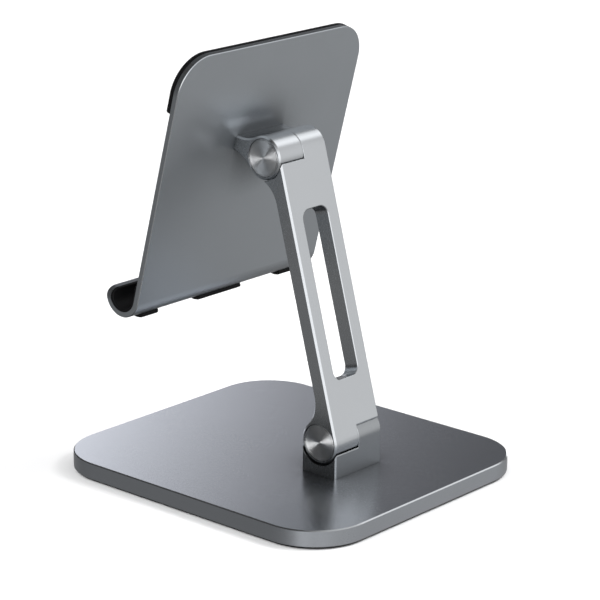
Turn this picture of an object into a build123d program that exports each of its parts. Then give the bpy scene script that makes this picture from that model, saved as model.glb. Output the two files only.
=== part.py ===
from build123d import *
import os
from math import cos, hypot, radians, sin, sqrt

# Tablet stand: a weighted base, a leaning arm and a J-shaped cradle, joined by two friction hinges.
# Millimetres. +X is the user's right, -Y is the user's side, +Z is up. The origin is on the table,
# under the centre of the base.

# Base
BASE_WIDTH = 150.0
BASE_DEPTH = 164.4
BASE_CORNER_R = 27.2
BASE_TOP = 8.7
BASE_EDGE_CHAMFER = 0.5
FOOT_MAT_T = 0.8
FOOT_MAT_INSET = 1.2

# Steel ballast in a pocket under the base
BALLAST_WIDTH = 116.0
BALLAST_DEPTH = 84.0
BALLAST_Y = -28.0
BALLAST_T = 3.6
BALLAST_CORNER_R = 10.0
BALLAST_SCREW_EDGE = 8.0
POCKET_GAP = 0.3
POCKET_TOP = FOOT_MAT_T + BALLAST_T + 0.2

# Hinges: each is two knuckles on one bolt, side by side
HINGE_HALF = 16.0
BARREL_R = 10.0
SADDLE_R = 10.7
KNUCKLE_GAP = 0.1
ARM_LENGTH = 130.0
ARM_LEAN = 15.46
CRADLE_LEAN = -14.23
LOWER_AXIS = (30.5, 23.77)
UPPER_AXIS = (
    LOWER_AXIS[0] - ARM_LENGTH * sin(radians(ARM_LEAN)),
    LOWER_AXIS[1] + ARM_LENGTH * cos(radians(ARM_LEAN)),
)
EDGE_CHAMFER = 0.8
SMALL_CHAMFER = 0.3
SPLIT_CHAMFER = 0.12

# Hinge hardware, measured outward from the middle of the hinge
BOLT_R = 3.0
RUNNING_GAP = 0.05
SEAT_X = 8.0
BOLT_HEAD_R = 5.0
BOLT_HEAD_H = 4.0
BOLT_END_X = 13.1
HEX_KEY_R = 2.3
HEX_KEY_DEPTH = 2.2
COUNTERBORE_R = 7.0
RECESS_R = 8.7
RECESS_X = 13.6
WASHER_R = 8.0
WASHER_SEAT = 0.5
THRUST_WASHER_R = 6.6
THRUST_WASHER_T = 0.8
SPRING_R = 6.2
SPRING_T = 0.6
SPRING_RISE = 0.3
NUT_R = 5.77
NUT_T = 2.3
STACK_GAP = 0.03
CAP_R = 8.5
CAP_FACE_X = 15.8
CAP_CHAMFER = 0.2
CAP_GROOVE = (8.1, 7.85)
CAP_GROOVE_DEPTH = 0.35
CAP_DISH_R = 7.4
CAP_DISH_DEPTH = 0.12
CAP_SPIGOT = (6.95, 6.1)
CAP_SPIGOT_X = 12.8

# Arm
ARM_FRONT = 2.1
ARM_FLARE_R = 15.0
SLOT_WIDTH = 16.8
SLOT_FROM = 26.1
SLOT_TO = 103.8
SLOT_CORNER_R = 4.5

# Base block
BLOCK_CHAMFER = 0.6
BLOCK_SCREW_X = 9.5
BLOCK_SCREW_Y = 5.5
BLOCK_SCREW_R = 2.0
BLOCK_SCREW_HEAD_R = 3.5
BLOCK_SCREW_HEAD_H = 2.8
BLOCK_SCREW_SEAT = 4.1
BLOCK_SCREW_END = 12.2
BLOCK_SCREW_KEY_R = 1.45
BLOCK_SCREW_KEY_DEPTH = 1.6

# Cradle: one sheet, bent into a hook at its lower end. v runs from its rear face to the front,
# u runs up the sheet from the point opposite the upper hinge.
SHEET_T = 2.5
CRADLE_STAND_OFF = 17.26
CRADLE_HALF_WIDTH = 60.75
CRADLE_TOP = 47.0
CRADLE_CORNER_R = 17.2
HOOK_U = -71.7
HOOK_R = 10.0
LIP_CORNER_R = 5.0
SHEET_CHAMFER = 0.3
NECK_HALF = 3.65
NECK_FLARE_R = 16.0
GRIP_T = 2.55
GRIP_FROM = 20.7
LINER_T = 1.2
LINER_INSET = 0.4
LINER_RISE = 8.0
TAB_PROUD = 2.0
TAB_WIDTH = 6.0
TAB_TURN = 20.0
TAB_HALF_LENGTHS = {0.0: 14.0, 46.5: 5.0, -46.5: 5.0}
BRACKET_SCREW_X = 9.0
BRACKET_SCREW_END = 7.7

# Countersunk screws with a cross recess
SMALL_SCREW_R = 1.5
SMALL_SCREW_HEAD_R = 3.0
SMALL_SCREW_HEAD_H = 1.5
SMALL_SCREW_END = 7.0
SCREW_GAP = 0.05
CROSS_LENGTH = 3.0
CROSS_WIDTH = 0.6
CROSS_DEPTH = 1.0


def side_plane(axis, lean):
    """Plane across the stand: x points to the rear, y points up, both leaning forward by lean."""
    turn = radians(lean)
    return Plane(origin=(0, *axis), x_dir=(0, cos(turn), sin(turn)), z_dir=(1, 0, 0))


def across(plane, profile, x_from, x_to):
    """Extrude a profile of a side plane from one place across the stand to another."""
    return extrude(plane.offset(min(x_from, x_to)) * profile, amount=abs(x_to - x_from))


def ring(outer_r, inner_r):
    return Circle(outer_r) - Circle(inner_r)


def edges_on(solid, axis, places):
    """Edges that lie wholly at one of the places along an axis."""
    chosen = ShapeList()
    for place in places:
        chosen += solid.edges().filter_by_position(axis, place - 0.001, place + 0.001)
    return chosen


LOWER = side_plane(LOWER_AXIS, ARM_LEAN)
BLOCK = side_plane(LOWER_AXIS, 0)
UPPER = side_plane(UPPER_AXIS, CRADLE_LEAN)
CRADLE = UPPER.shift_origin(UPPER.from_local_coords((-CRADLE_STAND_OFF, 0, 0)))


# ---------------------------------------------------------------- base


def rounded_slab(width, depth, corner_r, z_from, z_to):
    return extrude(Pos(0, 0, z_from) * RectangleRounded(width, depth, corner_r), amount=z_to - z_from)


def block_screw_places():
    """The four screws that hold the block, from under the base."""
    return GridLocations(2 * BLOCK_SCREW_X, 2 * BLOCK_SCREW_Y, 2, 2)


def ballast_screw_places():
    span_x = BALLAST_WIDTH - 2 * BALLAST_SCREW_EDGE
    span_y = BALLAST_DEPTH - 2 * BALLAST_SCREW_EDGE
    return GridLocations(span_x / 2, span_y, 3, 2)


def upright(radius, z_from, z_to):
    return Pos(0, 0, z_from) * extrude(Circle(radius), amount=z_to - z_from)


def at_block(shape):
    return [Pos(0, LOWER_AXIS[0], 0) * place * shape for place in block_screw_places()]


def at_ballast(shape):
    return [Pos(0, BALLAST_Y, 0) * place * shape for place in ballast_screw_places()]


def countersunk_screw(head_z, end_z, gap=0.0):
    """A screw whose flat head is at head_z and whose end is above it, with an optional gap around."""
    head = Pos(0, 0, head_z) * Cone(
        SMALL_SCREW_HEAD_R + gap,
        SMALL_SCREW_R + gap,
        SMALL_SCREW_HEAD_H,
        align=(Align.CENTER, Align.CENTER, Align.MIN),
    )
    return head + upright(SMALL_SCREW_R + gap, head_z + SMALL_SCREW_HEAD_H, end_z)


def cross_slot(head_z):
    """Cross recess in the face of a countersunk head."""
    blade = Box(CROSS_LENGTH, CROSS_WIDTH, CROSS_DEPTH, align=(Align.CENTER, Align.CENTER, Align.MIN))
    return Pos(0, 0, head_z) * (blade + Rot(0, 0, 90) * blade)


def base_plate():
    plate = rounded_slab(BASE_WIDTH, BASE_DEPTH, BASE_CORNER_R, FOOT_MAT_T, BASE_TOP)
    plate = chamfer(edges_on(plate, Axis.Z, [BASE_TOP, FOOT_MAT_T]), BASE_EDGE_CHAMFER)
    pocket = rounded_slab(
        BALLAST_WIDTH + 2 * POCKET_GAP,
        BALLAST_DEPTH + 2 * POCKET_GAP,
        BALLAST_CORNER_R + POCKET_GAP,
        0,
        POCKET_TOP,
    )
    plate -= Pos(0, BALLAST_Y, 0) * pocket
    plate -= at_ballast(upright(SMALL_SCREW_R + SCREW_GAP, POCKET_TOP - 1, SMALL_SCREW_END + SCREW_GAP))
    through = upright(BLOCK_SCREW_R + SCREW_GAP, 0, BASE_TOP + 1)
    seat = upright(BLOCK_SCREW_HEAD_R + POCKET_GAP, 0, BLOCK_SCREW_SEAT)
    return plate - at_block(through + seat)


def ballast_plate():
    plate = rounded_slab(
        BALLAST_WIDTH, BALLAST_DEPTH, BALLAST_CORNER_R, POCKET_TOP - BALLAST_T, POCKET_TOP
    )
    plate = Pos(0, BALLAST_Y, 0) * plate
    return plate - at_ballast(countersunk_screw(POCKET_TOP - BALLAST_T, POCKET_TOP + 1, SCREW_GAP))


def ballast_screws():
    head_z = POCKET_TOP - BALLAST_T
    return Compound(at_ballast(countersunk_screw(head_z, SMALL_SCREW_END) - cross_slot(head_z)))


def foot_mat():
    return rounded_slab(
        BASE_WIDTH - 2 * FOOT_MAT_INSET,
        BASE_DEPTH - 2 * FOOT_MAT_INSET,
        BASE_CORNER_R - FOOT_MAT_INSET,
        0,
        FOOT_MAT_T,
    )


def base_block():
    """Block on the base: a full knuckle on the left, and a saddle under the arm's knuckle."""
    axis_height = LOWER_AXIS[1] - BASE_TOP
    foot = Pos(0, -axis_height / 2) * Rectangle(2 * BARREL_R, axis_height)
    block = across(BLOCK, foot + Circle(BARREL_R), -HINGE_HALF, HINGE_HALF)
    sides = edges_on(block, Axis.X, [-HINGE_HALF, HINGE_HALF])
    block = chamfer(sides.sort_by(Axis.Z)[2:], BLOCK_CHAMFER)
    block -= across(BLOCK, Circle(SADDLE_R), -KNUCKLE_GAP / 2, HINGE_HALF + 1)
    block = ease_split(block, BLOCK) - hinge_hole(BLOCK, -1)
    return block - at_block(upright(BLOCK_SCREW_R + SCREW_GAP, BASE_TOP - 1, BLOCK_SCREW_END + SCREW_GAP))


def block_screws():
    head_z = BLOCK_SCREW_SEAT - BLOCK_SCREW_HEAD_H
    screw = upright(BLOCK_SCREW_HEAD_R, head_z, BLOCK_SCREW_SEAT)
    screw += upright(BLOCK_SCREW_R, BLOCK_SCREW_SEAT, BLOCK_SCREW_END)
    key = Pos(0, 0, head_z) * extrude(RegularPolygon(BLOCK_SCREW_KEY_R, 6), amount=BLOCK_SCREW_KEY_DEPTH)
    return Compound(at_block(screw - key))


# ---------------------------------------------------------------- hinges


def hinge_hole(plane, side):
    """What is bored out of one knuckle: the bolt hole, the hardware's chamber and the cap's recess.

    The left knuckle also has the friction washer's seat, in the face towards the other knuckle.
    """
    hole = across(plane, Circle(BOLT_R + RUNNING_GAP), 0, side * SEAT_X)
    if side < 0:
        hole += across(plane, Circle(WASHER_R + RUNNING_GAP), 0, -KNUCKLE_GAP / 2 - WASHER_SEAT)
    hole += across(plane, Circle(COUNTERBORE_R), side * SEAT_X, side * RECESS_X)
    return hole + across(plane, Circle(RECESS_R), side * RECESS_X, side * (HINGE_HALF + 1))


def ease_split(solid, plane):
    """Ease the rims where two knuckles meet in the middle of a hinge."""
    half = KNUCKLE_GAP / 2
    rims = []
    for edge in edges_on(solid, Axis.X, [-half, half]).filter_by(GeomType.CIRCLE):
        from_axis = plane.to_local_coords(edge.arc_center)
        if hypot(from_axis.X, from_axis.Y) < 0.01 and abs(edge.radius - BARREL_R) < 0.01:
            rims.append(edge)
    return chamfer(rims, SPLIT_CHAMFER)


def hinge_bolt(plane):
    """Socket head bolt: its head sits in the left knuckle, its thread ends in the right one."""
    head_x = -SEAT_X - BOLT_HEAD_H
    bolt = across(plane, Circle(BOLT_HEAD_R), head_x, -SEAT_X)
    bolt = chamfer(edges_on(bolt, Axis.X, [head_x]), SMALL_CHAMFER)
    bolt += across(plane, Circle(BOLT_R), -SEAT_X, BOLT_END_X)
    return bolt - across(plane, RegularPolygon(HEX_KEY_R, 6), head_x, head_x + HEX_KEY_DEPTH)


def friction_washer(plane):
    """Washer between the two knuckles, in its seat in the left one."""
    half = KNUCKLE_GAP / 2
    return across(plane, ring(WASHER_R, BOLT_R + RUNNING_GAP), -half - WASHER_SEAT, half - STACK_GAP)


def thrust_washer(plane):
    """Washer on the seat in the right knuckle, under the disc springs."""
    return across(plane, ring(THRUST_WASHER_R, BOLT_R + RUNNING_GAP), SEAT_X, SEAT_X + THRUST_WASHER_T)


def disc_springs(plane):
    """Two coned spring washers, rim to rim."""
    start = SEAT_X + THRUST_WASHER_T + STACK_GAP
    rim = start + SPRING_T + SPRING_RISE
    bore = BOLT_R + RUNNING_GAP
    inner_edge = [(start, bore), (start + SPRING_T, bore)]
    outer_edge = [(rim, SPRING_R), (rim - SPRING_T, SPRING_R)]
    section = make_face(Polyline(*inner_edge, *outer_edge, close=True))
    upright_plane = Plane(origin=plane.origin, x_dir=(1, 0, 0), z_dir=(0, -1, 0))
    spring = revolve(upright_plane * section, axis=Axis(plane.origin, (1, 0, 0)))
    rim_plane = Plane(origin=(rim + STACK_GAP / 2, 0, 0), z_dir=(1, 0, 0))
    return Compound([spring, mirror(spring, about=rim_plane)])


def lock_nut(plane):
    start = SEAT_X + THRUST_WASHER_T + 2 * (SPRING_T + SPRING_RISE) + 3 * STACK_GAP
    nut = across(plane, RegularPolygon(NUT_R, 6), start, start + NUT_T)
    return nut - across(plane, Circle(BOLT_R + RUNNING_GAP), start, start + NUT_T)


def hinge_cap(plane, side):
    """Disc that closes a knuckle: a dished face inside a fine groove, and a spigot behind."""
    face_x = side * CAP_FACE_X
    cap = across(plane, Circle(CAP_R), side * RECESS_X, face_x)
    cap = chamfer(edges_on(cap, Axis.X, [face_x]), CAP_CHAMFER)
    cap -= across(plane, ring(*CAP_GROOVE), face_x - side * CAP_GROOVE_DEPTH, face_x)
    cap -= across(plane, Circle(CAP_DISH_R), face_x - side * CAP_DISH_DEPTH, face_x)
    return cap + across(plane, ring(*CAP_SPIGOT), side * CAP_SPIGOT_X, side * RECESS_X)


def hinge_hardware(name, plane):
    """Every piece of one hinge except its knuckles."""
    return {
        f"{name}_hinge_bolt": hinge_bolt(plane),
        f"{name}_friction_washer": friction_washer(plane),
        f"{name}_thrust_washer": thrust_washer(plane),
        f"{name}_disc_springs": disc_springs(plane),
        f"{name}_lock_nut": lock_nut(plane),
        f"{name}_left_cap": hinge_cap(plane, -1),
        f"{name}_right_cap": hinge_cap(plane, 1),
    }


# ---------------------------------------------------------------- arm


def flare(face, hollow_r):
    """Side profile that widens a flat face, at x = face, into a barrel at the origin above it.

    The hollow curve has its centre beside the face and touches both the face and the barrel.
    """
    reach = BARREL_R + hollow_r
    centre = (face - hollow_r, sqrt(reach**2 - (face - hollow_r) ** 2))
    touch = (centre[0] * BARREL_R / reach, centre[1] * BARREL_R / reach)
    on_barrel = (face, sqrt(BARREL_R**2 - face**2))
    outline = Polyline(touch, centre, (face, centre[1]), on_barrel, close=True)
    return make_face(outline) - Pos(*centre) * Circle(hollow_r)


def arm():
    web_width = BARREL_R - ARM_FRONT
    web = Pos(ARM_FRONT + web_width / 2, ARM_LENGTH / 2) * Rectangle(web_width, ARM_LENGTH)
    lower_end = Circle(BARREL_R) + flare(ARM_FRONT, ARM_FLARE_R)
    upper_end = Pos(0, ARM_LENGTH) * mirror(lower_end, about=Plane.XZ)
    beam = across(LOWER, web + lower_end + upper_end, -HINGE_HALF, HINGE_HALF)
    beam = chamfer(edges_on(beam, Axis.X, [-HINGE_HALF, HINGE_HALF]), EDGE_CHAMFER)
    beam -= arm_slot()
    beam -= across(LOWER, Circle(SADDLE_R), -HINGE_HALF - 1, KNUCKLE_GAP / 2)
    beam -= across(UPPER, Circle(SADDLE_R), -KNUCKLE_GAP / 2, HINGE_HALF + 1)
    beam = ease_split(ease_split(beam, LOWER), UPPER)
    return beam - hinge_hole(LOWER, 1) - hinge_hole(UPPER, -1)


def arm_slot():
    """Cable slot through the arm, with a fine chamfer at both faces."""
    rear_face = Plane(origin=LOWER.from_local_coords((BARREL_R, 0, 0)), x_dir=(1, 0, 0), z_dir=-LOWER.x_dir)
    outline = RectangleRounded(SLOT_WIDTH, SLOT_TO - SLOT_FROM, SLOT_CORNER_R)
    wide = offset(outline, SMALL_CHAMFER)
    depth = BARREL_R - ARM_FRONT
    middle = rear_face * Pos(0, (SLOT_FROM + SLOT_TO) / 2)
    slot = middle * extrude(outline, amount=depth)
    slot += middle * loft([wide, Pos(0, 0, SMALL_CHAMFER) * outline])
    return slot + middle * loft([Pos(0, 0, depth - SMALL_CHAMFER) * outline, Pos(0, 0, depth) * wide])


# ---------------------------------------------------------------- cradle


def bracket():
    """Knuckle and neck behind the cradle's sheet, cut back around the arm's knuckle."""
    half_neck = Rot(0, 0, 90) * flare(-NECK_HALF, NECK_FLARE_R)
    neck = Pos(-CRADLE_STAND_OFF / 2, 0) * Rectangle(CRADLE_STAND_OFF, 2 * NECK_HALF)
    profile = Circle(BARREL_R) + half_neck + mirror(half_neck, about=Plane.XZ) + neck
    body = across(UPPER, profile, -HINGE_HALF, HINGE_HALF)
    sides = edges_on(body, Axis.X, [-HINGE_HALF, HINGE_HALF])
    foot = sides.sort_by(Axis(UPPER.origin, UPPER.x_dir))[:2]
    body = chamfer([edge for edge in sides if edge not in foot], EDGE_CHAMFER)
    body -= across(UPPER, Circle(SADDLE_R), -HINGE_HALF - 1, KNUCKLE_GAP / 2)
    return ease_split(body, UPPER) - hinge_hole(UPPER, 1) - bracket_screw_holes()


def at_bracket(shape):
    """A shape placed at both bracket screws, starting from the sheet's front face."""
    front = Plane(origin=CRADLE.from_local_coords((-SHEET_T, 0, 0)), x_dir=(1, 0, 0), z_dir=CRADLE.x_dir)
    return [front * Pos(side * BRACKET_SCREW_X, 0) * shape for side in (-1, 1)]


def bracket_screw_holes():
    return at_bracket(countersunk_screw(0, BRACKET_SCREW_END + SCREW_GAP, SCREW_GAP))


def bracket_screws():
    """Screws through the sheet into the bracket, heads flush with the sheet's front face."""
    return Compound(at_bracket(countersunk_screw(0, BRACKET_SCREW_END) - cross_slot(0)))


def hook_profile(outer_r, inner_r):
    """Lower half of a ring about the hook's centre."""
    lower_half = Pos(0, -outer_r) * Rectangle(4 * outer_r, 2 * outer_r)
    return Pos(-HOOK_R, HOOK_U) * (ring(outer_r, inner_r) & lower_half)


def strip(v_from, v_to, u_from, u_to):
    """Rectangle of the cradle's side plane, between two depths and two heights."""
    return Pos(-(v_from + v_to) / 2, (u_from + u_to) / 2) * Rectangle(v_to - v_from, u_to - u_from)


def tabs(gap):
    """The liner's three tabs, through slots along the underside of the hook."""
    made = []
    centre = Pos(-HOOK_R, HOOK_U) * Rot(0, 0, TAB_TURN)
    for middle, half in TAB_HALF_LENGTHS.items():
        reach = centre * Pos(0, -HOOK_R) * Rectangle(TAB_WIDTH + 2 * gap, 2 * HOOK_R)
        section = hook_profile(HOOK_R + TAB_PROUD, HOOK_R - SHEET_T - LINER_T / 2) & reach
        made.append(across(CRADLE, section, middle - half - gap, middle + half + gap))
    return made


def thickness_edges(solid, wanted):
    """Edges across the sheet's thickness, where wanted(v, u) is true."""
    chosen = []
    for edge in solid.edges().filter_by(Axis(CRADLE.origin, CRADLE.x_dir)):
        place = CRADLE.to_local_coords(edge.center())
        if wanted(-place.X, place.Y):
            chosen.append(edge)
    return chosen


def round_top_corners(solid):
    return fillet(thickness_edges(solid, lambda v, u: u > CRADLE_TOP - 1), CRADLE_CORNER_R)


def border_edges(sheet):
    """The border of the sheet's rear face and of the hook's outer face, without the line they share."""
    rear = sheet.faces().sort_by(Axis(CRADLE.origin, CRADLE.x_dir))[-1]
    bends = sheet.faces().filter_by(GeomType.CYLINDER)
    outer = max(bends, key=lambda face: face.area)
    edges = rear.outer_wire().edges() + outer.outer_wire().edges()
    return [edge for edge in edges if not is_shared(edge)]


def is_shared(edge):
    place = CRADLE.to_local_coords(edge.center())
    return abs(place.X) < 0.001 and abs(place.Y - HOOK_U) < 0.001


def cradle_plate():
    """The sheet and its hook, with rounded corners and slots for the liner's tabs."""
    section = strip(0, SHEET_T, HOOK_U, CRADLE_TOP) + hook_profile(HOOK_R, HOOK_R - SHEET_T)
    sheet = across(CRADLE, section, -CRADLE_HALF_WIDTH, CRADLE_HALF_WIDTH)
    sheet = round_top_corners(sheet)
    sheet = fillet(thickness_edges(sheet, lambda v, u: v > HOOK_R), LIP_CORNER_R)
    sheet = chamfer(border_edges(sheet), SHEET_CHAMFER)
    return sheet - tabs(SCREW_GAP) - bracket_screw_holes()


def front_grip():
    """Soft strip on the front of the sheet's upper end."""
    section = strip(SHEET_T, SHEET_T + GRIP_T, GRIP_FROM, CRADLE_TOP)
    return round_top_corners(across(CRADLE, section, -CRADLE_HALF_WIDTH, CRADLE_HALF_WIDTH))


def lip_corner(side, half_width):
    """What is cut from the liner's lip to round its corner."""
    facing = Plane(
        origin=CRADLE.from_local_coords((-HOOK_R, HOOK_U - LIP_CORNER_R, 0)),
        x_dir=(1, 0, 0),
        z_dir=-CRADLE.x_dir,
    )
    centre = facing * Pos(side * (half_width - LIP_CORNER_R), 0)
    square = Pos(side * LIP_CORNER_R, LIP_CORNER_R) * Rectangle(2 * LIP_CORNER_R, 2 * LIP_CORNER_R)
    return centre * extrude(square - Circle(LIP_CORNER_R), amount=HOOK_R)


def hook_liner():
    """Soft lining of the hook, with three tabs that hold it in the sheet."""
    inner_r = HOOK_R - SHEET_T
    half_width = CRADLE_HALF_WIDTH - LINER_INSET
    section = hook_profile(inner_r, inner_r - LINER_T)
    section += strip(SHEET_T, SHEET_T + LINER_T, HOOK_U, HOOK_U + LINER_RISE)
    liner = across(CRADLE, section, -half_width, half_width)
    liner -= [lip_corner(side, half_width) for side in (-1, 1)]
    for tab in tabs(0):
        liner += tab
    return liner


def main():
    nodes = {
        "base_plate": base_plate(),
        "ballast_plate": ballast_plate(),
        "ballast_screws": ballast_screws(),
        "foot_mat": foot_mat(),
        "base_block": base_block(),
        "block_screws": block_screws(),
        "arm": arm(),
        "cradle_plate": cradle_plate(),
        "bracket": bracket(),
        "bracket_screws": bracket_screws(),
        "front_grip": front_grip(),
        "hook_liner": hook_liner(),
    }
    nodes.update(hinge_hardware("lower", BLOCK))
    nodes.update(hinge_hardware("upper", UPPER))
    os.makedirs("parts", exist_ok=True)
    for name, shape in nodes.items():
        export_step(shape, f"parts/{name}.step")


main()
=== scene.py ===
from math import cos, pi, radians, sin, sqrt

import bmesh
import bpy
from mathutils import Matrix, Vector


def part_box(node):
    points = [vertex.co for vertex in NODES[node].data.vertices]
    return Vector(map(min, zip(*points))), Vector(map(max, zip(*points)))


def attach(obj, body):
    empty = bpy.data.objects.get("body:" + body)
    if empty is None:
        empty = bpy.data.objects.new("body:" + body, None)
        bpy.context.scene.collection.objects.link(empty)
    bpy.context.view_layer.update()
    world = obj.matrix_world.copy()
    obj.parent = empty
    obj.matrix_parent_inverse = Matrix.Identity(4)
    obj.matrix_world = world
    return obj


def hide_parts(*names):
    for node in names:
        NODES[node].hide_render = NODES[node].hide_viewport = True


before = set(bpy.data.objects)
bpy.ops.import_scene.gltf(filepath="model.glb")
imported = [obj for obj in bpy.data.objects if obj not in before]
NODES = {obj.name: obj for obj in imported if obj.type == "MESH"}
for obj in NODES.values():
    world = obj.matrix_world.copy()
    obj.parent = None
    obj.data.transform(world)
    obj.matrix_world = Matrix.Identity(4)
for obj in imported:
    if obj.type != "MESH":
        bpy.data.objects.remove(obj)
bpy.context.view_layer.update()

# Looks of the tablet stand, in metres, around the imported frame.
# +X is the user's right, -Y the user's side, +Z up. The stand is seen from behind and above.
# Order: shader building, materials, dressing the CAD nodes, soft pieces, then the studio.

MM = 0.001


# ---------------------------------------------------------------- shader building


class Nodes:
    """A node tree, with short calls for the nodes that the materials and the studio share."""

    def __init__(self, tree):
        self.tree = tree

    def node(self, kind, **settings):
        made = self.tree.nodes.new(kind)
        for key, value in settings.items():
            setattr(made, key, value)
        return made

    def link(self, source, target):
        self.tree.links.new(source, target)

    def feed(self, socket, value):
        """A fixed value or another node's output into a socket."""
        if isinstance(value, bpy.types.NodeSocket):
            self.link(value, socket)
        else:
            socket.default_value = value

    def math(self, operation, first, second=0.0):
        made = self.node("ShaderNodeMath", operation=operation)
        self.feed(made.inputs[0], first)
        self.feed(made.inputs[1], second)
        return made.outputs["Value"]

    def vector(self, operation, first, second):
        made = self.node("ShaderNodeVectorMath", operation=operation)
        self.feed(made.inputs[0], first)
        self.feed(made.inputs["Scale" if operation == "SCALE" else 1], second)
        return made.outputs["Value" if operation == "DOT_PRODUCT" else "Vector"]

    def span(self, value, low, high, start=0.0, end=1.0, smooth=False):
        """Carries a value from the span start..end to low..high."""
        mapped = self.node("ShaderNodeMapRange")
        mapped.interpolation_type = "SMOOTHSTEP" if smooth else "LINEAR"
        for socket, number in zip(mapped.inputs[1:5], (start, end, low, high)):
            socket.default_value = number
        self.link(value, mapped.inputs["Value"])
        return mapped.outputs["Result"]


class Shader(Nodes):
    """A material and its surface."""

    def __init__(self, name):
        self.material = bpy.data.materials.new(name)
        self.material.use_nodes = True
        super().__init__(self.material.node_tree)
        self.surface = self.tree.nodes["Principled BSDF"]

    def set(self, **values):
        """Fixed values on the surface's own sockets; a word's underscores stand for spaces."""
        for key, value in values.items():
            self.surface.inputs[key.replace("_", " ")].default_value = value

    def place(self, scale=(1, 1, 1), turn=(0, 0, 0)):
        """The piece's own coordinates in metres, turned, then scaled."""
        source = self.node("ShaderNodeTexCoord").outputs["Object"]
        mapping = self.node("ShaderNodeMapping")
        mapping.inputs["Scale"].default_value = scale
        mapping.inputs["Rotation"].default_value = turn
        self.link(source, mapping.inputs["Vector"])
        return mapping.outputs["Vector"]

    def noise(self, vector, scale, detail=2.0, rough=0.5):
        noise = self.node("ShaderNodeTexNoise")
        noise.inputs["Scale"].default_value = scale
        noise.inputs["Detail"].default_value = detail
        noise.inputs["Roughness"].default_value = rough
        self.link(vector, noise.inputs["Vector"])
        return noise.outputs["Fac"]

    def mix(self, factor, first, second):
        """Colour between two others; the second can be a fixed colour or another node's output."""
        made = self.node("ShaderNodeMix", data_type="RGBA")
        made.inputs["A"].default_value = (*first, 1)
        if isinstance(second, tuple):
            made.inputs["B"].default_value = (*second, 1)
        else:
            self.link(second, made.inputs["B"])
        self.link(factor, made.inputs["Factor"])
        return made.outputs["Result"]

    def bump(self, height, depth, rounding=0):
        """Raises the surface by height times depth, over edges eased by rounding; all in metres."""
        made = self.node("ShaderNodeBump")
        if rounding:
            eased = self.node("ShaderNodeBevel", samples=4)
            eased.inputs["Radius"].default_value = rounding
            self.link(eased.outputs["Normal"], made.inputs["Normal"])
        made.inputs["Strength"].default_value = 1.0
        made.inputs["Distance"].default_value = depth
        self.link(height, made.inputs["Height"])
        self.link(made.outputs["Normal"], self.surface.inputs["Normal"])

    def colour(self, socket):
        self.link(socket, self.surface.inputs["Base Color"])

    def roughness(self, socket):
        self.link(socket, self.surface.inputs["Roughness"])


def shade(colour, factor):
    return tuple(part * factor for part in colour)


# ---------------------------------------------------------------- materials

SHEET_GREY = (0.421, 0.447, 0.473)
BASE_GREY = (0.368, 0.386, 0.412)
# The block's grey is the arm's metal darkened: painted shade.
BLOCK_SHADED_GREY = (0.285, 0.297, 0.309)
ARM_GREY = (0.415, 0.43, 0.445)
CUT_EDGE = (0.42, 0.435, 0.45)
TURNED_METAL = (0.84, 0.85, 0.86)
BLACK_SILICONE = (0.004, 0.004, 0.0045)
ARM_LEAN = radians(15.46)


def anodised(name, tint, rough, painted_shade_reach=0, rounding=0):
    """Bead-blasted and anodised aluminium: a fine even grain and faint handling marks.

    Painted shade: given a reach, the colour darkens by ambient occlusion within that distance of whatever
    stands on it.
    """
    s = Shader(name)
    grain = s.noise(s.place(), 4200, 3.0, 0.6)
    clouds = s.noise(s.place(), 22, 4.0, 0.55)
    tone = s.math("ADD", s.math("MULTIPLY", grain, 0.6), s.math("MULTIPLY", clouds, 0.4))
    colour = s.mix(s.span(tone, 0, 1, 0.3, 0.7), shade(tint, 0.95), shade(tint, 1.05))
    if painted_shade_reach:
        # Painted shade: near other surfaces the colour falls towards 0.3 of the tint.
        occlusion = s.node("ShaderNodeAmbientOcclusion", samples=8)
        occlusion.inputs["Distance"].default_value = painted_shade_reach
        open_air = s.span(occlusion.outputs["AO"], 0, 1, 0.4, 0.95, smooth=True)
        colour = s.mix(open_air, shade(tint, 0.3), colour)
    s.colour(colour)
    s.roughness(s.span(tone, rough - 0.03, rough + 0.03, 0.3, 0.7))
    s.bump(grain, 0.012 * MM, rounding)
    s.set(Metallic=1.0)
    return s.material


def brushed(name, tint, rough, stretch, turn=(0, 0, 0)):
    """Machined aluminium with fine lines along one direction; stretch is large across the lines."""
    s = Shader(name)
    lines = s.noise(s.place(stretch, turn), 1.0, 4.0, 0.7)
    grain = s.noise(s.place(), 6500, 2.0, 0.5)
    both = s.math("ADD", s.math("MULTIPLY", lines, 0.7), s.math("MULTIPLY", grain, 0.3))
    s.colour(s.mix(s.span(both, 0, 1, 0.3, 0.7), shade(tint, 0.88), shade(tint, 1.10)))
    s.roughness(s.span(both, rough - 0.05, rough + 0.05, 0.3, 0.7))
    s.bump(both, 0.008 * MM)
    s.set(Metallic=1.0)
    return s.material


def cut_edge(name):
    """Machined chamfer: smoother than the faces beside it, with faint cutter marks."""
    s = Shader(name)
    marks = s.noise(s.place((1400, 1400, 1400)), 1.0, 2.0, 0.5)
    s.colour(s.mix(marks, shade(CUT_EDGE, 0.95), shade(CUT_EDGE, 1.05)))
    s.roughness(s.span(marks, 0.18, 0.24, 0.3, 0.7))
    s.bump(marks, 0.002 * MM)
    s.set(Metallic=1.0)
    return s.material


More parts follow.
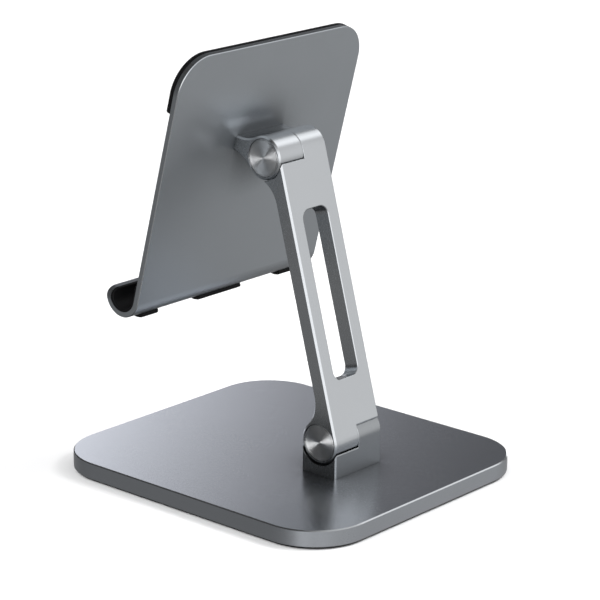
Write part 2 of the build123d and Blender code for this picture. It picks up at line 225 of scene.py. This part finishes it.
def turned(name, centre, tint):
    """Lathe-turned disc face: fine rings about the hinge axis, so light fans out from the middle."""
    s = Shader(name)
    split = s.node("ShaderNodeSeparateXYZ")
    s.link(s.place(), split.inputs["Vector"])
    across = s.math("POWER", s.math("SUBTRACT", split.outputs["Y"], centre.y), 2.0)
    along = s.math("POWER", s.math("SUBTRACT", split.outputs["Z"], centre.z), 2.0)
    radius = s.math("SQRT", s.math("ADD", across, along))
    lines = s.node("ShaderNodeTexNoise", noise_dimensions="1D")
    lines.inputs["Scale"].default_value = 9000
    lines.inputs["Detail"].default_value = 3.0
    s.link(radius, lines.inputs["W"])
    rings = lines.outputs["Fac"]
    s.colour(s.mix(s.span(rings, 0, 1, 0.3, 0.7), shade(tint, 0.80), shade(tint, 1.10)))
    s.roughness(s.span(rings, 0.34, 0.44, 0.3, 0.7))
    s.bump(rings, 0.004 * MM)
    tangent = s.node("ShaderNodeTangent", direction_type="RADIAL", axis="X")
    s.link(tangent.outputs["Tangent"], s.surface.inputs["Tangent"])
    s.set(Metallic=1.0, Anisotropic=1.0, Anisotropic_Rotation=0.25)
    return s.material


def silicone(name):
    """Matt black silicone rubber: a soft sheen, a fine moulded texture and a little dust."""
    s = Shader(name)
    texture = s.noise(s.place(), 2600, 3.0, 0.6)
    wear = s.noise(s.place(), 60, 5.0, 0.6)
    dust = s.span(s.math("MULTIPLY", texture, wear), 0.0, 0.35, 0.30, 0.52)
    s.colour(s.mix(dust, BLACK_SILICONE, shade(BLACK_SILICONE, 3.2)))
    s.roughness(s.span(wear, 0.52, 0.66, 0.3, 0.7))
    s.bump(texture, 0.02 * MM)
    s.set(IOR=1.41, Specular_IOR_Level=0.18)
    return s.material


def plain_steel(name, tint, rough, scale=900):
    """Small steel parts: slightly mottled, with an oily unevenness."""
    s = Shader(name)
    mottle = s.noise(s.place(), scale, 4.0, 0.6)
    oil = s.noise(s.place(), 140, 3.0, 0.5)
    s.colour(s.mix(mottle, shade(tint, 0.8), shade(tint, 1.15)))
    s.roughness(s.span(oil, rough - 0.08, rough + 0.1, 0.3, 0.7))
    s.bump(mottle, 0.01 * MM)
    s.set(Metallic=1.0)
    return s.material


def polymer(name):
    """Pale self-lubricating washer plastic."""
    s = Shader(name)
    flow = s.noise(s.place(), 300, 3.0, 0.5)
    s.colour(s.mix(flow, (0.52, 0.50, 0.45), (0.66, 0.64, 0.58)))
    s.roughness(s.span(flow, 0.4, 0.55, 0.3, 0.7))
    s.bump(flow, 0.01 * MM)
    return s.material


# ---------------------------------------------------------------- dressing the CAD nodes


def dress(node, *materials):
    """Gives a CAD node its materials; the first one covers every face."""
    mesh = NODES[node].data
    mesh.materials.clear()
    for material in materials:
        mesh.materials.append(material)
    for face in mesh.polygons:
        face.material_index = 0


def mark_faces(node, index, wanted):
    """Gives one of a node's materials to the faces where wanted(normal) is true."""
    for face in NODES[node].data.polygons:
        if wanted(face.normal):
            face.material_index = index


def is_side_chamfer(normal):
    """A face that slants halfway to the left or right."""
    return 0.6 < abs(normal.x) < 0.8


def is_top_chamfer(normal):
    return 0.6 < normal.z < 0.8


def is_top(normal):
    return normal.z > 0.9


def is_side(normal):
    return abs(normal.x) > 0.9


def dress_metal():
    edge = cut_edge("cut_edge")
    # Painted shade: the base top darkens near the block, and the cradle sheet near the bracket.
    base_top = anodised("anodised_base_top", BASE_GREY, 0.26, painted_shade_reach=0.055)
    dress("base_plate", anodised("anodised_base", BASE_GREY, 0.29), edge, base_top)
    mark_faces("base_plate", 1, is_top_chamfer)
    mark_faces("base_plate", 2, is_top)
    dress("cradle_plate", anodised("anodised_sheet", SHEET_GREY, 0.34, painted_shade_reach=0.03), edge)
    mark_faces("cradle_plate", 1, is_side_chamfer)
    machined = anodised("anodised_machined", ARM_GREY, 0.24, rounding=0.5 * MM)
    lengthwise = brushed("brushed_lengthwise", ARM_GREY, 0.27, (900, 5200, 700), (-ARM_LEAN, 0, 0))
    # Painted shade: the block gets a darker copy of the anodised metal.
    block = anodised("anodised_block_shaded", BLOCK_SHADED_GREY, 0.24, rounding=0.5 * MM)
    for node, finish in (("arm", machined), ("bracket", machined), ("base_block", block)):
        dress(node, finish, edge, lengthwise)
        mark_faces(node, 1, is_side_chamfer)
        mark_faces(node, 2, is_side)


def dress_hardware():
    blackened = plain_steel("blackened_steel", (0.10, 0.10, 0.105), 0.45)
    bolt = plain_steel("bolt_steel", (0.55, 0.55, 0.56), 0.3)
    spring = plain_steel("spring_steel", (0.30, 0.29, 0.27), 0.35)
    washer = polymer("washer_polymer")
    ballast = plain_steel("ballast_steel", (0.14, 0.14, 0.15), 0.5, 300)
    dress("ballast_plate", ballast)
    for node in ("ballast_screws", "block_screws", "bracket_screws"):
        dress(node, blackened)
    for hinge in ("lower", "upper"):
        dress(f"{hinge}_hinge_bolt", bolt)
        dress(f"{hinge}_lock_nut", bolt)
        dress(f"{hinge}_thrust_washer", bolt)
        dress(f"{hinge}_disc_springs", spring)
        dress(f"{hinge}_friction_washer", washer)
        for side in ("left", "right"):
            node = f"{hinge}_{side}_cap"
            low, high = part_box(node)
            # Painted shade: the upper caps get a darker copy (0.75) of the turned metal's colour.
            tint = shade(TURNED_METAL, 0.75 if hinge == "upper" else 1.0)
            dress(node, turned(f"turned_{hinge}_{side}", (low + high) / 2, tint))


# ---------------------------------------------------------------- soft pieces

# The cradle's own directions: its rear face passes STAND_OFF in front of the upper hinge.
UPPER_AXIS = Vector((0, -4.154, 149.066))
CRADLE_LEAN = radians(14.23)
STAND_OFF = 17.26
SHEET_T = 2.5
FORWARD = Vector((0, -cos(CRADLE_LEAN), sin(CRADLE_LEAN)))
UPWARD = Vector((0, sin(CRADLE_LEAN), cos(CRADLE_LEAN)))
CORNER_STEPS = 20


def at_cradle(x, depth, height):
    """A point of the cradle, in metres: depth is forward of the sheet's rear face."""
    return (UPPER_AXIS + Vector((x, 0, 0)) + FORWARD * (STAND_OFF + depth) + UPWARD * height) * MM


def rounded_outline(half_width, bottom, top, corner_r, inset):
    """Outline with the same rounding at each corner (lower left first), moved in by inset."""
    low_r, high_r = (max(r - inset, 0.05) for r in corner_r)
    right = half_width - inset
    bottom, top = bottom + inset, top - inset
    corners = (
        (-right + low_r, bottom + low_r, low_r, pi),
        (right - low_r, bottom + low_r, low_r, 1.5 * pi),
        (right - high_r, top - high_r, high_r, 0.0),
        (-right + high_r, top - high_r, high_r, 0.5 * pi),
    )
    points = []
    for x, y, radius, start in corners:
        for step in range(CORNER_STEPS + 1):
            turn = start + 0.5 * pi * step / CORNER_STEPS
            points.append((x + radius * cos(turn), y + radius * sin(turn)))
    return points


def add_skin(mesh, loops):
    """Faces from each loop of points to the next, and one across the first and the last."""
    rows = [[mesh.verts.new(point) for point in loop] for loop in loops]
    for row, following in zip(rows, rows[1:]):
        for place in range(len(row)):
            after = (place + 1) % len(row)
            mesh.faces.new((row[place], row[after], following[after], following[place]))
    mesh.faces.new(reversed(rows[0]))
    mesh.faces.new(rows[-1])


def soft_piece(name, skins, node, body, material):
    """One silicone piece made of closed skins, in place of its CAD node."""
    mesh = bmesh.new()
    for loops in skins:
        add_skin(mesh, loops)
    bmesh.ops.recalc_face_normals(mesh, faces=mesh.faces)
    data = bpy.data.meshes.new(name)
    mesh.to_mesh(data)
    mesh.free()
    data.shade_smooth()
    data.set_sharp_from_angle(angle=radians(40))
    data.materials.append(material)
    piece = bpy.data.objects.new(name, data)
    bpy.context.scene.collection.objects.link(piece)
    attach(piece, body)
    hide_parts(node)


# Each row: how far in from the border, and how far out from the back of the piece.
GRIP_STEPS = ((0, 0), (0, 1.75), (0.1, 2.1), (0.3, 2.38), (0.7, 2.55), (2.2, 2.55))
GRIP_GROOVE = ((2.4, 2.3), (2.9, 2.3), (3.1, 2.55))
GRIP_HALF = 60.75
GRIP_RISE = (20.7, 47.0)
GRIP_CORNERS = (1.0, 17.2)
MAT_T = 0.8
MAT_STEPS = ((0, 0), (0, 0.5), (0.1, 0.7), (0.35, MAT_T), (5.0, MAT_T))
MAT_HALF = (73.8, 81.0)
MAT_CORNERS = (26.0, 26.0)


def make_front_grip(material):
    """The strip on the sheet's upper front, with a soft edge and a shallow groove along its border."""
    loops = []
    for inset, out in GRIP_STEPS + GRIP_GROOVE:
        outline = rounded_outline(GRIP_HALF, *GRIP_RISE, GRIP_CORNERS, inset)
        loops.append([at_cradle(x, SHEET_T + out, height) for x, height in outline])
    soft_piece("front_grip_soft", [loops], "front_grip", "cradle", material)


def make_foot_mat(material):
    """The mat under the base, with a soft edge."""
    half_width, half_depth = MAT_HALF
    loops = []
    for inset, out in MAT_STEPS:
        outline = rounded_outline(half_width, -half_depth, half_depth, MAT_CORNERS, inset)
        loops.append([Vector((x, y, MAT_T - out)) * MM for x, y in outline])
    soft_piece("foot_mat_soft", [loops], "foot_mat", "base", material)


# The hook, its liner and the liner's tabs; a tab starts inside the liner.
HOOK_CENTRE = (10.0, -71.7)
LINER_OUTER_R = 7.5
LINER_T = 1.2
LINER_HALF = 60.35
LINER_RISE = 8.0
LIP_CORNER_R = 5.0
SOFT_EDGE = 0.4
TAB_ROOT = 7.0
TAB_REACH = 12.0
TAB_TURN = radians(-70)
TAB_HALF_ANGLE = radians(15.4)
TABS = ((0.0, 14.0), (46.5, 5.0), (-46.5, 5.0))


def liner_path():
    """Points of the liner's outer face from its front rim round the hook and up the sheet.

    Each one has its place, the way inward from the outer face, and the distance from the rim.
    """
    steps = 48
    rim = [1 - sqrt(1 - (step / 12) ** 2) for step in range(12)]
    fine = [LIP_CORNER_R * value for value in rim]
    rest = pi * LINER_OUTER_R - LIP_CORNER_R
    coarse = [LIP_CORNER_R + rest * step / steps for step in range(steps + 1)]
    path = []
    for along in fine + coarse:
        turn = along / LINER_OUTER_R
        outward = (cos(turn), -sin(turn))
        depth, height = (c + LINER_OUTER_R * o for c, o in zip(HOOK_CENTRE, outward))
        path.append(((depth, height), (-outward[0], -outward[1]), along))
    for rise in (0.25, 0.5, 0.75, 0.9, 0.96, 1.0):
        up = LINER_RISE * rise
        place = (HOOK_CENTRE[0] - LINER_OUTER_R, HOOK_CENTRE[1] + up)
        path.append((place, (1.0, 0.0), pi * LINER_OUTER_R + up))
    return path


def slab_loop(place, way, half_width, x_middle, thickness):
    """Cross-section of a strip: a rectangle with rounded edges on the side that shows.

    Its flat side is at place, and its thickness goes the given way.
    """
    quarter = (0.0, pi / 6, pi / 3, pi / 2)
    rounded = [(SOFT_EDGE * (1 - cos(turn)), thickness - SOFT_EDGE * (1 - sin(turn))) for turn in quarter]
    profile = [(-1, 0.0, 0.0), (1, 0.0, 0.0)]
    profile += [(1, inset, out) for inset, out in rounded]
    profile += [(-1, inset, out) for inset, out in reversed(rounded)]
    loop = []
    for side, inset, out in profile:
        point = tuple(p + w * out for p, w in zip(place, way))
        loop.append(at_cradle(x_middle + side * (half_width - inset), *point))
    return loop


def liner_skin():
    """The lining: its corners are rounded at the rim, and it thins out at both ends."""
    loops = []
    length = pi * LINER_OUTER_R + LINER_RISE
    for place, inward, along in liner_path():
        near_rim = max(LIP_CORNER_R - along, 0.0)
        half_width = LINER_HALF - LIP_CORNER_R + sqrt(LIP_CORNER_R**2 - near_rim**2)
        from_end = min(along, length - along)
        rounding = 1 - max(0.5 - from_end, 0.0) / 0.5
        thickness = LINER_T * (0.55 + 0.45 * sqrt(1 - (1 - rounding) ** 2))
        loops.append(slab_loop(place, inward, half_width, 0.0, thickness))
    return loops


def tab_skin(middle, half):
    """A tab through the sheet: it stands a little proud of the hook's outside."""
    loops = []
    steps = 10
    for step in range(steps + 1):
        share = 2 * step / steps - 1
        turn = TAB_TURN + TAB_HALF_ANGLE * share
        reach = TAB_REACH - 0.5 * abs(share) ** 6
        way = (-cos(turn), sin(turn))
        start = tuple(c + TAB_ROOT * w for c, w in zip(HOOK_CENTRE, way))
        loops.append(slab_loop(start, way, half, middle, reach - TAB_ROOT))
    return loops


def make_hook_liner(material):
    skins = [liner_skin()] + [tab_skin(middle, half) for middle, half in TABS]
    soft_piece("hook_liner_soft", skins, "hook_liner", "cradle", material)


# ---------------------------------------------------------------- studio

CAMERA_AZIMUTH = radians(130.71)
CAMERA_ELEVATION = radians(17.03)
CAMERA_DISTANCE = 1.18757
CAMERA_TARGET = Vector((-0.00906, -0.00313, 0.07812))
CAMERA_ROLL = radians(0.637)
CAMERA_LENS = 155.99


def make_camera():
    """The camera stands behind the stand, on the user's right, a little above it."""
    back = Vector(
        (
            sin(CAMERA_AZIMUTH) * cos(CAMERA_ELEVATION),
            -cos(CAMERA_AZIMUTH) * cos(CAMERA_ELEVATION),
            sin(CAMERA_ELEVATION),
        )
    )
    data = bpy.data.cameras.new("camera")
    data.sensor_width = 36
    data.lens = CAMERA_LENS
    camera = bpy.data.objects.new("camera", data)
    bpy.context.scene.collection.objects.link(camera)
    camera.rotation_mode = "QUATERNION"
    roll = Matrix.Rotation(CAMERA_ROLL, 4, "Z").to_quaternion()
    camera.rotation_quaternion = (-back).to_track_quat("-Z", "Y") @ roll
    camera.location = CAMERA_TARGET + back * CAMERA_DISTANCE
    bpy.context.scene.camera = camera


def floor_material():
    """Plain white, with a glow that keeps it white far from the lights."""
    s = Shader("pale_floor")
    mottle = s.noise(s.place(), 12, 3.0, 0.5)
    s.colour(s.mix(mottle, (0.80, 0.80, 0.805), (0.83, 0.83, 0.83)))
    s.roughness(s.span(mottle, 0.75, 0.85))
    s.set(Specular_IOR_Level=0.1, Emission_Color=(1, 1, 1, 1))
    distance = s.node("ShaderNodeVectorMath", operation="LENGTH")
    s.link(s.place(), distance.inputs[0])
    glow = s.span(distance.outputs["Value"], 0.0, 0.65, 0.6, 2.0)
    s.link(glow, s.surface.inputs["Emission Strength"])
    return s.material


def make_floor():
    mesh = bpy.data.meshes.new("floor")
    half = 6.0
    corners = [(-half, -half, 0), (half, -half, 0), (half, half, 0), (-half, half, 0)]
    mesh.from_pydata(corners, [], [(0, 1, 2, 3)])
    floor = bpy.data.objects.new("floor", mesh)
    floor.data.materials.append(floor_material())
    floor.visible_glossy = False
    bpy.context.scene.collection.objects.link(floor)


def area_light(name, place, aim, size, power):
    data = bpy.data.lights.new(name, "AREA")
    data.shape = "RECTANGLE"
    data.size, data.size_y = size
    data.energy = power
    light = bpy.data.objects.new(name, data)
    light.location = place
    light.rotation_euler = (Vector(aim) - Vector(place)).to_track_quat("-Z", "Y").to_euler()
    light.visible_camera = False
    light.visible_glossy = False
    bpy.context.scene.collection.objects.link(light)


def make_lights():
    area_light("key", (-0.9, 0.75, 1.5), (0, 0, 0.05), (0.9, 0.9), 34)
    area_light("fill", (1.0, -0.6, 1.4), (0, 0, 0.05), (1.6, 1.6), 22)


def towards(azimuth, height):
    """A direction, from degrees anticlockwise from +X and degrees above the horizon."""
    turn, rise = radians(azimuth), radians(height)
    return (cos(turn) * cos(rise), sin(turn) * cos(rise), sin(rise))


# A lit panel in front of the stand, on its left: only the metal shows it. Degrees and metres.
PANEL_AZIMUTH = 221
PANEL_HEIGHT = 20.4
PANEL_AWAY = 0.5
PANEL_SPAN = (-0.30, 0.42)
PANEL_RISE = (-0.22, 0.14)


def panel_material(middle, along, upward):
    """Light that grows towards one side and upward, and fades out at the top."""
    made = bpy.data.materials.new("panel_glow")
    made.use_nodes = True
    glow = Nodes(made.node_tree)
    glow.tree.nodes.clear()
    place = glow.vector("SUBTRACT", glow.node("ShaderNodeTexCoord").outputs["Object"], middle)
    slope = glow.vector("DOT_PRODUCT", place, along + upward * 0.7)
    rise = glow.vector("DOT_PRODUCT", place, upward)
    growing = glow.math("POWER", glow.span(slope, 0.0, 1.0, -0.16, 0.26), 2.0)
    level = glow.math("ADD", glow.math("MULTIPLY", growing, 2.8), 0.19)
    light = glow.math("MULTIPLY", level, glow.span(rise, 1.0, 0.0, 0.07, 0.13, smooth=True))
    emission = glow.node("ShaderNodeEmission")
    emission.inputs["Color"].default_value = (0.985, 0.99, 1.045, 1)
    glow.link(light, emission.inputs["Strength"])
    output = glow.node("ShaderNodeOutputMaterial")
    glow.link(emission.outputs["Emission"], output.inputs["Surface"])
    return made


def make_panel():
    facing = Vector(towards(PANEL_AZIMUTH, PANEL_HEIGHT))
    along = facing.cross(Vector((0, 0, 1))).normalized() * -1
    upward = along.cross(facing)
    middle = Vector((0, 0, 0.0087)) + facing * PANEL_AWAY
    low, high = PANEL_RISE
    start, end = PANEL_SPAN
    outline = ((start, low), (end, low), (end, high), (start, high))
    corners = [middle + along * aside + upward * rise for aside, rise in outline]
    mesh = bpy.data.meshes.new("front_panel")
    mesh.from_pydata(corners, [], [(0, 1, 2, 3)])
    mesh.materials.append(panel_material(middle, along, upward))
    panel = bpy.data.objects.new("front_panel", mesh)
    panel.visible_camera = False
    panel.visible_diffuse = False
    panel.visible_shadow = False
    panel.visible_transmission = False
    bpy.context.scene.collection.objects.link(panel)


# What the metal reflects: soft panels, each with a direction (azimuth anticlockwise from +X and
# height, in degrees), the angles where it is full and where it ends, and its light.
PANELS = (
    (170, 42, 5, 20, (1.75, 1.76, 1.78)),
    (55, 8, 10, 30, (0.8, 0.8, 0.81)),
    (20, 4, 8, 23, (3.4, 3.4, 3.42)),
    (197, -4, 5, 15, (3.5, 3.5, 3.53)),
)
WALL = 95
ROOM_LIGHT = 0.1
WALL_LIGHT = 1.12


def reflected_studio(world):
    """The light that comes from each direction: a lit floor below, a bright wall behind, soft panels."""
    direction = world.node("ShaderNodeTexCoord").outputs["Generated"]
    height = world.vector("DOT_PRODUCT", direction, (0, 0, 1))
    facing = world.vector("DOT_PRODUCT", direction, towards(WALL, 0))
    slope = Vector(towards(WALL, 0)) * 0.20 + Vector((0, 0, 0.5))
    below = world.math("ADD", world.vector("DOT_PRODUCT", direction, slope), 0.63)
    above = world.span(facing, ROOM_LIGHT, ROOM_LIGHT + WALL_LIGHT, -0.09, 0.75, smooth=True)
    rise = world.span(height, 0.0, 1.0, -0.37, -0.02)
    gain = world.math("MULTIPLY", rise, world.math("SUBTRACT", above, below))
    total = world.vector("SCALE", (1.0, 1.0, 1.0), world.math("ADD", below, gain))
    for azimuth, elevation, full, end, light in PANELS:
        near = world.vector("DOT_PRODUCT", direction, towards(azimuth, elevation))
        share = world.span(near, 0.0, 1.0, cos(radians(end)), cos(radians(full)), smooth=True)
        total = world.vector("ADD", total, world.vector("SCALE", light, share))
    return total


def make_world():
    """White where the camera looks, an even sky for matt surfaces, and the studio for reflections."""
    background = bpy.data.worlds.new("studio")
    bpy.context.scene.world = background
    background.use_nodes = True
    world = Nodes(background.node_tree)
    world.tree.nodes.clear()
    path = world.node("ShaderNodeLightPath")
    mirrored = world.node("ShaderNodeBackground")
    world.link(reflected_studio(world), mirrored.inputs["Color"])
    sky = world.node("ShaderNodeBackground")
    sky.inputs["Strength"].default_value = 0.7
    white = world.node("ShaderNodeBackground")
    white.inputs["Color"].default_value = (1, 1, 1, 1)
    seen = sky.outputs["Background"]
    for ray, light in (("Is Glossy Ray", mirrored), ("Is Camera Ray", white)):
        choose = world.node("ShaderNodeMixShader")
        world.link(path.outputs[ray], choose.inputs["Fac"])
        world.link(seen, choose.inputs[1])
        world.link(light.outputs["Background"], choose.inputs[2])
        seen = choose.outputs["Shader"]
    output = world.node("ShaderNodeOutputWorld")
    world.link(seen, output.inputs["Surface"])
    bpy.context.scene.view_settings.view_transform = "Standard"


dress_metal()
dress_hardware()
rubber = silicone("silicone")
make_front_grip(rubber)
make_foot_mat(rubber)
make_hook_liner(rubber)
make_camera()
make_floor()
make_lights()
make_panel()
make_world()
